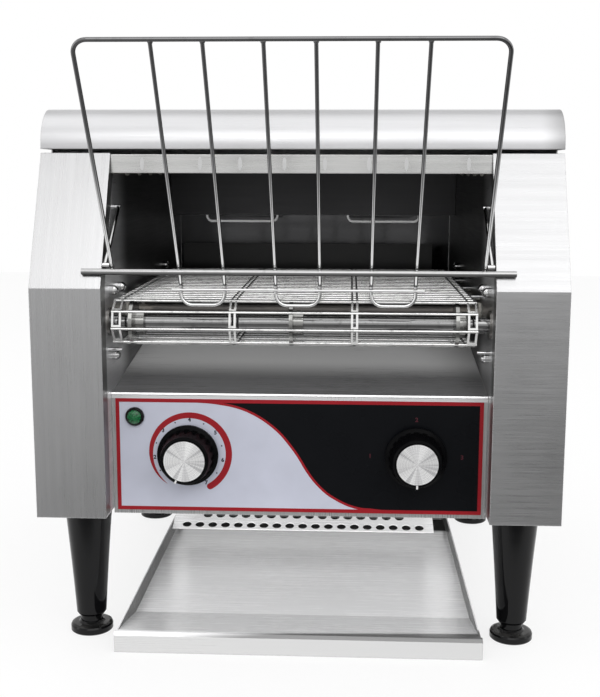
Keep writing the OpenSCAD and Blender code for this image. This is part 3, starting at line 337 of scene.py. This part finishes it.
# the near black of the painted shade inside the chamber
INNER_SHADE = (0.062, 0.061, 0.064)
LEFTWARD, RIGHTWARD = (-1, 0, 0), (1, 0, 0)
FRONTWARD, BACKWARD = (0, -1, 0), (0, 1, 0)
DOWNWARD, UPWARD = (0, 0, -1), (0, 0, 1)

# painted shade: each housing's face that turns towards the opening is darkened
give(steel("steel_upright_grain", SHEET, UPRIGHT, 0.3, 0.6,
           (grey(0.25), FACING, RIGHTWARD, 0.5, 0.9)), "left_housing")
give(steel("steel_cross_grain", (0.51, 0.51, 0.515), CROSS, 0.3, 0.9,
           (grey(0.3), FACING, LEFTWARD, 0.5, 0.9)), "right_housing")
# painted shade: the cover darkens towards its right end
give(steel("steel_cover", (0.6, 0.6, 0.61), CROSS, 0.33, 0.45,
           ((0.38, 0.38, 0.385), PLACE, RIGHTWARD, 0.166, 0.186)), "top_cover")
# painted shade: the hood's faces that look down are darkened
give(steel("steel_hood", (0.68, 0.68, 0.67), CROSS, 0.28, 1.2,
           (INNER_SHADE, FACING, DOWNWARD, 0.3, 0.8)), "hood")

# painted shade: the walls of the chamber are darkened behind this plane
chamber_y = at(0, 78, 0).y
for name, color in (("left_inner_wall", (0.8, 0.8, 0.81)), ("right_inner_wall", SHEET)):
    give(steel("steel_" + name, color, DEEP, 0.32, 1.2,
               (INNER_SHADE, PLACE, BACKWARD, chamber_y - 0.02, chamber_y + 0.02), metal=0.85), name)

# painted highlights: the plate's edge above the film is painted white, and the shelf's rear and its
# nose are painted bright
film_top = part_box("panel_overlay")[1][2]
give(steel("steel_panel_plate", grey(0.52), UPRIGHT, 0.3, 1.0,
           (grey(1.0), PLACE, UPWARD, film_top - 0.0002, film_top + 0.0002), metal=0.6),
     "control_panel")
shelf_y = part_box("lower_shelf")[0][1]
give(steel("steel_shelf", (0.2, 0.2, 0.204), CROSS, 0.3, 1.2,
           (grey(1.0), PLACE, BACKWARD, shelf_y + 0.035, shelf_y + 0.085),
           (grey(0.85), FACING, FRONTWARD, 0.55, 0.9), metal=0.6), "lower_shelf")
give(steel("steel_reflector", grey(0.2), CROSS, 0.16), "lower_reflector")
give(steel("steel_base", grey(0.84), CROSS, 0.3, metal=0.85), "base_plate")

# painted shade: the inner face of the back is a glossy near black, a little lighter from 0.28 m up;
# its outer face is plain sheet
give(steel("steel_back", (0.03, 0.03, 0.031), CROSS, 0.06, 0.6,
           ((0.08, 0.08, 0.082), PLACE, UPWARD, 0.276, 0.281),
           (SHEET, FACING, BACKWARD, 0.3, 0.8)), "rear_panel")
# painted shade: the chute is near black from about 0.13 m up, fully so above 0.18 m
give(steel("steel_chute", (0.93, 0.93, 0.94), CROSS, 0.3, 0.5,
           (grey(0.012), PLACE, UPWARD, 0.13, 0.18), metal=0.4), "toast_chute")

# painted shade: the tray is darkened at its rear, where the chute covers it, and made matt there;
# and darkened on its sides, on its front face and in a slanting band along the edge of its boxed
# front
tray_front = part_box("toast_tray")[0][1]
cover_near, cover_far = at(0, 290, 0).y, at(0, 298, 0).y
SLANT = 12
edge = -SLANT * tray_front
give(steel("steel_tray", (0.5, 0.5, 0.505), CROSS, 0.24, 0.4,
           (grey(0.03), PLACE, BACKWARD, cover_near, cover_far, "matt"),
           (grey(0.07), PLACE, (1, -SLANT, 0), edge - 0.12, edge - 0.04),
           (grey(0.25), FACING, FRONTWARD, 0.4, 0.95),
           (grey(0.09), FACING, RIGHTWARD, 0.5, 0.9),
           (grey(0.09), FACING, LEFTWARD, 0.5, 0.9), metal=0.25), "toast_tray")
give(steel("steel_baffle", (0.1, 0.1, 0.103), CROSS, 0.4, 0.6), "rear_baffle")

# painted shade: the wires darken where they face away from the front, and the bars that lie across
# the view where they face away from up and to the front; the rack's wires are painted brighter low
# down as a painted reflection
UPPER_FRONT = (0, -0.9, 0.43)
give(wire("rack_wire", (0.2, 0.2, 0.203), low=(grey(0.9), 0.385, 0.29), flank=0.85),
     "rack_frame", "rack_guides", "rack_tip_rod", "rack_hooks")
give(wire("bar_wire", grey(0.45), 0.08, flank=0.9, core=UPPER_FRONT), "rack_cross_bar")
give(wire("belt_wire", (0.95, 0.95, 0.94), 0.1, 0.6, 0.75, flank=0.5, core=UPPER_FRONT),
     "wire_belt")
give(wire("rod_wire", grey(0.8), 0.12, 0.4), "belt_support_rods", "belt_guide_pins")
give(wire("guard_wire", grey(1.0), 0.2, 0.1, 0.0), "guard_wires")
give(wire("turned_shaft", grey(0.3), 0.06, 0.6), "front_shaft", "drive_shaft", "motor_shaft",
     "speed_spindle", "selector_spindle")
give(wire("pressed_steel", (0.32, 0.32, 0.31), 0.16, 0.6), "front_sprockets", "drive_sprockets")
give(wire("oiled_steel", (0.2, 0.19, 0.18), 0.3, 0.8), "motor_sprocket", "shaft_sprocket",
     "drive_chain")
give(wire("bush_metal", (0.26, 0.25, 0.24), 0.3, 0.5), "shaft_bushes")
give(wire("plated_screws", grey(0.74), 0.14, 0.3), "wall_nuts", "casing_screws")
give(wire("motor_paint", (0.3, 0.31, 0.32), 0.4, 0.5), "gear_motor", "limit_thermostat")
give(sheath(), "upper_heaters", "lower_heaters")
give(ceramic("insulator_look", (0.78, 0.76, 0.7)), "heater_insulators", "terminal_block")
BLACK = (0.002, 0.002, 0.0025)
give(plastic("leg_plastic", BLACK, 0.08, 0.04, Specular_IOR_Level=0.25), "legs",
     "foot_front_left", "foot_front_right", "foot_rear_left", "foot_rear_right")
give(plastic("knob_plastic", BLACK, 0.3, 0.03, 1.0, 0.0, Specular_IOR_Level=0.05),
     "speed_knob", "selector_knob")
give(plastic("dark_moulding", (0.02, 0.02, 0.022), 0.4, 0.2), "fan_frame", "fan_rotor",
     "cable_gland")
give(plastic("bezel_plastic", grey(0.003), 0.2, 0.05, 1.2, 0.02, Specular_IOR_Level=0.25),
     "lamp_bezel")
give(plastic("control_case", (0.1, 0.1, 0.11), 0.45, 0.2), "speed_pot", "selector_switch")
give(printed("film_lilac", (0.64, 0.66, 0.77), 0.34), "panel_overlay")
give(lens(), "lamp_lens")
for name in ("speed_knob_cap", "selector_knob_cap"):
    low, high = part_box(name)
    give(spun(name + "_look", (Vector(low) + Vector(high)) / 2), name)


# ---------------------------------------------------------------- mesh tools
def piece(name, verts, faces, material, body, smooth=False):
    mesh = bpy.data.meshes.new(name)
    mesh.from_pydata([tuple(v) for v in verts], [], faces)
    mesh.validate()
    bm = bmesh.new()
    bm.from_mesh(mesh)
    bmesh.ops.recalc_face_normals(bm, faces=bm.faces)
    bm.to_mesh(mesh)
    bm.free()
    for poly in mesh.polygons:
        poly.use_smooth = smooth
    mesh.materials.append(material)
    o = bpy.data.objects.new(name, mesh)
    bpy.context.scene.collection.objects.link(o)
    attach(o, body)


def plates(shapes, y, thick):
    """Flat closed plates from (x, z) outlines in mm, standing on the plane y and proud of it to
    the front."""
    verts, faces = [], []
    for pts in shapes:
        n, base = len(pts), len(verts)
        verts += [at(px, y, pz) for px, pz in pts] + [at(px, y - thick, pz) for px, pz in pts]
        faces.append([base + i for i in range(n)])
        faces.append([base + n + i for i in reversed(range(n))])
        faces += [[base + i, base + (i + 1) % n, base + n + (i + 1) % n, base + n + i]
                  for i in range(n)]
    return verts, faces


def smooth_line(pts, steps=8):
    """Catmull-Rom points through pts."""
    out = []
    last = len(pts) - 1
    for i in range(last):
        a, b, c, d = (Vector(pts[max(0, min(last, j))]) for j in (i - 1, i, i + 1, i + 2))
        for s in range(steps):
            t = s / steps
            out.append(tuple(0.5 * (2 * b + (c - a) * t + (2 * a - 5 * b + 4 * c - d) * t * t
                                    + (3 * b - a - 3 * c + d) * t ** 3)))
    out.append(tuple(pts[-1]))
    return out


def ribbon(line, width):
    """Quads along a line; width is a number or one per point."""
    widths = width if isinstance(width, list) else [width] * len(line)
    sides = []
    for i, p in enumerate(line):
        d = Vector(line[min(i + 1, len(line) - 1)]) - Vector(line[max(i - 1, 0)])
        n = Vector((-d.y, d.x)).normalized() * widths[i] / 2
        sides.append((Vector(p) + n, Vector(p) - n))
    return [tuple(a) for a, b in sides] + [tuple(b) for a, b in reversed(sides)]


def disc(cx, cz, r, n, rz=None):
    """A circle of n points, or an ellipse with the half height rz."""
    return [(cx + r * math.cos(2 * math.pi * i / n), cz + (rz or r) * math.sin(2 * math.pi * i / n))
            for i in range(n)]


def rect(x1, z1, x2, z2):
    return [(x1, z1), (x2, z1), (x2, z2), (x1, z2)]


# ---------------------------------------------------------------- printed panel
RED = (0.36, 0.006, 0.014)
EDGE = 2.7      # width of the red border in mm
INK = 0.06      # thickness of a layer of ink in mm
low, high = (tuple(v * 1000 for v in c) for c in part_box("panel_overlay"))
x1, x2, z1, z2 = low[0], high[0], low[2], high[2]
film_y = low[1] - front * 1000
red = printed("film_red", RED)
dark = printed("film_black", (0.005, 0.0055, 0.007), 0.28, 0.12)
i1, i2, j1, j2 = x1 + EDGE, x2 - EDGE, z1 + EDGE, z2 - EDGE
curve = smooth_line([(-72, j2), (-64, j2 - 0.1), (-56.8, j2 - 0.6), (-48, 183.4), (-39.4, 180.9),
                     (-30.7, 176.9), (-22.1, 171.4), (-13.4, 164), (-5.6, 154.7), (0.2, 146.4),
                     (6, 136.6), (12.2, 128), (20, 120.2), (27.2, 115.4), (36.2, 111),
                     (45.4, j1 + 0.5), (53, j1 + 0.1), (60, j1)])
verts, faces = plates([curve + [(i2, j1), (i2, j2)]], film_y, INK)
piece("print_dark_field", verts, faces, dark, "casing")
frame_bars = [rect(x1, z1, x2, j1), rect(x1, j2, x2, z2),
              rect(x1, j1, i1, j2), rect(i2, j1, x2, j2)]
verts, faces = plates(frame_bars, film_y, 1.5 * INK)
piece("print_border", verts, faces, red, "casing")
taper = [1.7 * min(1, i / 18, (len(curve) - 1 - i) / 10) for i in range(len(curve))]
verts, faces = plates([ribbon(curve, taper)], film_y - INK, INK)
piece("print_curve", verts, faces, red, "casing")

# the left dial in mm and degrees: a red arc that widens clockwise to a round end
DIAL_X, DIAL_Z, ARC_R = -78.2, 147.9, 28.2
ARC_START, ARC_SWEEP, ARC_STEPS = 233.2, 292.6, 96
ARC_THIN, ARC_GAIN, ARC_RISE = 0.15, 4.5, 0.2
arc, widths = [], []
for i in range(ARC_STEPS + 1):
    s = i / ARC_STEPS
    a = math.radians(ARC_START - ARC_SWEEP * s)
    arc.append((DIAL_X + ARC_R * math.cos(a), DIAL_Z + ARC_R * math.sin(a)))
    widths.append(ARC_THIN + ARC_GAIN * (1 - math.exp(-s / ARC_RISE)))
verts, faces = plates([ribbon(arc, widths)], film_y, INK)
piece("print_dial_arc", verts, faces, red, "casing")
verts, faces = plates([disc(*arc[-1], widths[-1] / 2, 32)], film_y, 1.3 * INK)
piece("print_dial_end", verts, faces, red, "casing")


def numeral(text, x, z, size, material, y):
    """A plain numeral printed on the film, centred on (x, z)."""
    font = bpy.data.curves.new("numeral_" + text, "FONT")
    font.body = text
    font.size = size / 1000
    font.extrude = 0.00003      # metres, to each side
    font.offset = 0.00017       # metres that the strokes are thicker
    font.align_x, font.align_y = "CENTER", "CENTER"
    holder = bpy.data.objects.new("numeral_holder", font)
    bpy.context.scene.collection.objects.link(holder)
    bpy.context.view_layer.update()
    graph = bpy.context.evaluated_depsgraph_get()
    mesh = bpy.data.meshes.new_from_object(holder.evaluated_get(graph))
    bpy.data.objects.remove(holder)
    mesh.transform(Matrix.Translation(at(x, y, z)) @ Matrix.Rotation(math.pi / 2, 4, "X"))
    mesh.materials.clear()
    mesh.materials.append(material)
    o = bpy.data.objects.new(f"print_number_{text}_{int(x)}".replace("-", "m"), mesh)
    bpy.context.scene.collection.objects.link(o)
    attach(o, "casing")


ink_blue = printed("film_number_ink", (0.006, 0.006, 0.02))
faint = printed("film_faint_red", (0.075, 0.01, 0.018))
RELIEF = 0.03       # how far a numeral's middle plane stands off the film in mm

# the left dial's numerals and the dots halfway between them
RING_X, NUMBER_R, DOT_R = -79, 24.9, 24.6
RING_START, RING_STEP = 187, 49.4
for i, text in enumerate("234567"):
    a = math.radians(RING_START - RING_STEP * i)
    numeral(text, RING_X + NUMBER_R * math.cos(a), DIAL_Z + NUMBER_R * math.sin(a), 3.9, ink_blue,
            film_y - RELIEF)
dots = []
for i in range(-1, 11, 2):
    a = math.radians(RING_START - RING_STEP / 2 * i)
    dots.append(disc(RING_X + DOT_R * math.cos(a), DIAL_Z + DOT_R * math.sin(a), 0.55, 12))
verts, faces = plates(dots, film_y, INK)
piece("print_dial_dots", verts, faces, ink_blue, "casing")
for text, x, z in (("1", 51.5, 147.8), ("2", 84.3, 174.7), ("3", 117, 147.6)):
    numeral(text, x, z, 4.2, faint, film_y - INK - RELIEF)

# white pointer inlays beyond the caps, from one radius to the other
POINTER_IN, POINTER_OUT, POINTER_HALF = 14.85, 17.4, 0.68
white = printed("pointer_white", grey(0.85), 0.4)
for node, body, angle in (("speed_knob", "speed_control", 157),
                          ("selector_knob", "selector_control", 180)):
    low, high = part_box(node)
    centre = Vector(((low[0] + high[0]) / 2 * 1000, (low[2] + high[2]) / 2 * 1000))
    face_y = (low[1] - front) * 1000
    a = math.radians(90 + angle)
    u, v = Vector((math.cos(a), math.sin(a))), Vector((-math.sin(a), math.cos(a)))
    quad = [centre + u * r + v * half
            for r, half in ((POINTER_IN, POINTER_HALF), (POINTER_OUT, POINTER_HALF),
                            (POINTER_OUT, -POINTER_HALF), (POINTER_IN, -POINTER_HALF))]
    verts, faces = plates([[tuple(q) for q in quad]], face_y + 0.36, 0.42)
    piece(body + "_pointer", verts, faces, white, body)

# ---------------------------------------------------------------- weld marks, beads, screw slots
WELD_XS = (-111.8, -70.6, -42.3, -10.9, 17.6, 48.4, 74.6, 118)
WELD_Z, WELD_HALF_WIDTH, WELD_HALF_HEIGHT = 354.2, 1.4, 4.6
lip_y = (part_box("hood")[0][1] - front) * 1000
marks = [disc(x, WELD_Z, WELD_HALF_WIDTH, 20, WELD_HALF_HEIGHT) for x in WELD_XS]
# the spot-weld marks are real; their brightness is a painted highlight
weld_highlight = wire("weld_mark_highlight", grey(0.8), 0.3, 0.1)
verts, faces = plates(marks, lip_y, 0.06)
piece("hood_weld_marks", verts, faces, weld_highlight, "casing")


def beads(name, spots, size, body):
    """Small weld beads, flattened a little. A spot is (point in mm, stretch along each axis)."""
    verts, faces = [], []
    n, m = 10, 6        # points round a bead and rows from its bottom to its top
    for k, (p, stretch) in enumerate(spots):
        base = len(verts)
        for j in range(m + 1):
            lat = math.pi * (j / m - 0.5)
            for i in range(n):
                lon = 2 * math.pi * i / n
                wobble = 1 + 0.08 * math.sin(3 * lon + 1.7 * k)
                d = Vector((math.cos(lat) * math.cos(lon) * stretch[0],
                            math.cos(lat) * math.sin(lon) * stretch[1],
                            math.sin(lat) * stretch[2])) * size * wobble
                verts.append(at(p[0] + d.x, p[1] + d.y, p[2] + d.z))
        for j in range(m):
            for i in range(n):
                faces.append([base + j * n + i, base + j * n + (i + 1) % n,
                              base + (j + 1) * n + (i + 1) % n, base + (j + 1) * n + i])
    piece(name, verts, faces, nodes["rack_frame"].data.materials[0], body, True)


# beads where the guides' wires touch the cross bar and the top of the frame, and at the bar's ends
LEAN = math.radians(33.7)       # of the guides
GUIDE_PITCH, GUIDE_HALF, BAR_END = 65.7, 15.2, 126.8
guide_xs = [i * GUIDE_PITCH + s * GUIDE_HALF for i in (-1, 0, 1) for s in (-1, 1)]
bar_low, bar_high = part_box("rack_cross_bar")
bar = Vector(((bar_low[1] + bar_high[1]) / 2 - front, (bar_low[2] + bar_high[2]) / 2)) * 1000
contact = bar + Vector((math.cos(LEAN), math.sin(LEAN))) * 2.1
spots = [((x, contact.x, contact.y), (1.0, 0.9, 0.8)) for x in guide_xs]
spots += [((s * BAR_END, contact.x, contact.y), (1.1, 0.9, 0.8)) for s in (-1, 1)]
rack_low, rack_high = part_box("rack_frame")
top = Vector(((rack_low[1] - front) * 1000 + 1.6, rack_high[2] * 1000 - 1.6))
spots += [((x, top.x + 0.6, top.y - 1.2), (1.0, 0.8, 0.8)) for x in guide_xs]
beads("rack_weld_beads", spots, 1.7, "feed_rack")

# cross slots of the four screws in the back, drawn as thin near-black plates of painted shade
SCREW_INSET, SCREW_ZS = 8, (118.5, 349.5)
SLOT_LONG, SLOT_WIDE = 1.5, 0.3     # half sizes
back_y = (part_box("casing_screws")[1][1] - front) * 1000
rear_low, rear_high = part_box("rear_panel")
crosses = []
for x in (rear_low[0] * 1000 + SCREW_INSET, rear_high[0] * 1000 - SCREW_INSET):
    for z in SCREW_ZS:
        for a, b in ((SLOT_LONG, SLOT_WIDE), (SLOT_WIDE, SLOT_LONG)):
            crosses.append(rect(x - a, z - b, x + a, z + b))
slot_shade = plastic("screw_slot_shade", grey(0.01), 0.6)
verts, faces = plates(crosses, back_y + 0.03, 0.06)
piece("screw_cross_slots", verts, faces, slot_shade, "casing")

# ---------------------------------------------------------------- camera
EYE = (35.49, -722.61, 347.93)
PITCH, YAW, ROLL = math.radians(9.289), math.radians(2.632), math.radians(0.141)
FOCAL, PICTURE_WIDTH = 1074.22, 600     # in pixels
SENSOR = 36
look = Vector((-math.sin(YAW) * math.cos(PITCH), math.cos(YAW) * math.cos(PITCH), -math.sin(PITCH)))
right = Vector((math.cos(YAW), math.sin(YAW), 0))
up = right.cross(look)
turn = Matrix((right, up, -look)).transposed() @ Matrix.Rotation(ROLL, 3, "Z")
cam = bpy.data.cameras.new("camera")
cam.sensor_fit = "HORIZONTAL"
cam.sensor_width = SENSOR
cam.lens = FOCAL * SENSOR / PICTURE_WIDTH
cam.clip_start = 0.01
eye = bpy.data.objects.new("camera", cam)
eye.matrix_world = Matrix.Translation(at(*EYE)) @ turn.to_4x4()
bpy.context.scene.collection.objects.link(eye)
bpy.context.scene.camera = eye
bpy.context.scene.view_settings.view_transform = "Standard"


# ---------------------------------------------------------------- floor, world and lamps
def studio_floor():
    """A pale floor that glows white where it is seen or mirrored. The part in front of the object
    is mirrored greyer, as the unlit side of a studio is."""
    k = Mat("studio_floor", grey(PALE), 0.6, 0.0, Specular_IOR_Level=0.1)
    x, y, z = k.xyz(k.pos)
    path = k.node("ShaderNodeLightPath")
    camera = path.outputs["Is Camera Ray"]
    speck = k.noise((40, 40, 40), 3, 0.5)
    tone = k.steps(y, [(at(0, v, 0).y, g) for v, g in FLOOR_TONES])
    # painted light: the floor's tone is paler towards its left side
    tone = k.mix(k.range(x, -0.7, 0.4, 0.4, 0), tone, grey(PALE))
    tone = k.mix(camera, tone, grey(0.97))
    k.set(k.s, "Base Color", k.mix(k.range(speck, 0.2, 0.8, 0, 0.03), tone, grey(0.5)))
    glow = k.node("ShaderNodeEmission")
    k.set(glow, "Strength", 1.0)
    mirrored = k.math("MAXIMUM", path.outputs["Is Glossy Ray"], path.outputs["Is Transmission Ray"])
    behind = k.range(y, at(0, -130, 0).y, at(0, -50, 0).y, 0, 1, True)
    mirrored = k.math("MULTIPLY", mirrored, behind)
    blend = k.node("ShaderNodeMixShader")
    k.set(blend, 0, k.math("MULTIPLY", k.math("MAXIMUM", camera, mirrored), 0.78))
    k.t.links.new(k.s.outputs[0], blend.inputs[1])
    k.t.links.new(glow.outputs[0], blend.inputs[2])
    k.t.links.new(blend.outputs[0], k.t.nodes["Material Output"].inputs[0])
    return k.m


# grey of the floor by distance from the front face in mm, and of the surroundings by height, from
# straight down (-1) to straight up (1)
REACH, PALE = 3000, 0.86
FLOOR_TONES = ((-REACH, 0.3), (-1600, 0.3), (-1000, 0.2), (-450, 0.07), (-130, 0.15), (-50, PALE),
               (REACH, PALE))
FRONT_SKY = ((-1, 0.6), (-0.1, 0.7), (0.0, 0.75), (0.2, 0.9), (0.45, 1.0), (0.8, 1.0), (1, 0.6))
REAR_SKY = ((-1, 0.9), (-0.1, 1.0), (0.3, 1.0), (0.6, 0.85), (1, 0.6))

mesh = bpy.data.meshes.new("floor")
corners = [tuple(at(x * REACH, y * REACH, 0)) for x, y in ((-1, -1), (1, -1), (1, 1), (-1, 1))]
mesh.from_pydata(corners, [], [(0, 1, 2, 3)])
mesh.materials.append(studio_floor())
floor = bpy.data.objects.new("floor", mesh)
bpy.context.scene.collection.objects.link(floor)

# World: white behind the object; in front, pale grey that brightens upwards like a soft light.
world = bpy.data.worlds.new("studio")
world.use_nodes = True
bpy.context.scene.world = world
w = Tree(world.node_tree)
x, y, z = w.xyz(w.node("ShaderNodeTexCoord").outputs["Generated"])
sky = w.mix(w.range(y, -0.2, 0.3, 0, 1, True), w.steps(z, FRONT_SKY), w.steps(z, REAR_SKY))
w.set(w.t.nodes["Background"], "Color", sky)
w.set(w.t.nodes["Background"], "Strength", 1.0)


def lamp(name, place, target, size, glow, fills=None):
    """A soft box. glow is how bright it looks, where 1 is white. One that fills a piece lights
    only that piece, out of the body's shade, and isn't mirrored."""
    light = bpy.data.lights.new(name, "AREA")
    light.shape = "RECTANGLE"
    light.size, light.size_y = size
    light.energy = glow * math.pi * size[0] * size[1]
    o = bpy.data.objects.new(name, light)
    o.location = place
    o.rotation_euler = (Vector(target) - Vector(place)).to_track_quat("-Z", "Y").to_euler()
    bpy.context.scene.collection.objects.link(o)
    if fills:
        o.visible_glossy = False
        o.light_linking.receiver_collection = bpy.data.collections.new(name + "_receivers")
        o.light_linking.receiver_collection.objects.link(nodes[fills])


# name, place, target, size, glow and the piece that it fills
lamp("front_softbox", (0.35, -1.6, 1.5), (0, -0.1, 0.3), (2.2, 1.0), 1.3)
lamp("top_softbox", (0, -0.1, 1.9), (0, 0, 0), (2.0, 1.4), 0.8)
lamp("left_strip", (-1.4, -0.5, 0.5), (0, 0, 0.2), (0.4, 1.4), 1.3)
lamp("right_strip", (1.5, -0.3, 0.6), (0, 0, 0.2), (0.4, 1.4), 1.0)
lamp("tray_fill", (-0.2, -2.6, 1.19), (0, 0.0, 0.01), (2.0, 1.0), 37.0, "toast_tray")
lamp("shelf_fill", (0.15, -1.3, 0.35), (0.03, 0.0, 0.2), (0.8, 0.1), 150.0, "lower_shelf")
lamp("guard_fill", (0.0, -1.3, 0.42), (0, 0.2, 0.31), (0.6, 0.25), 12.0, "guard_wires")
lamp("chute_fill", (-0.05, -1.15, 0.3), (0, 0.12, 0.02), (0.9, 0.12), 90.0, "toast_chute")
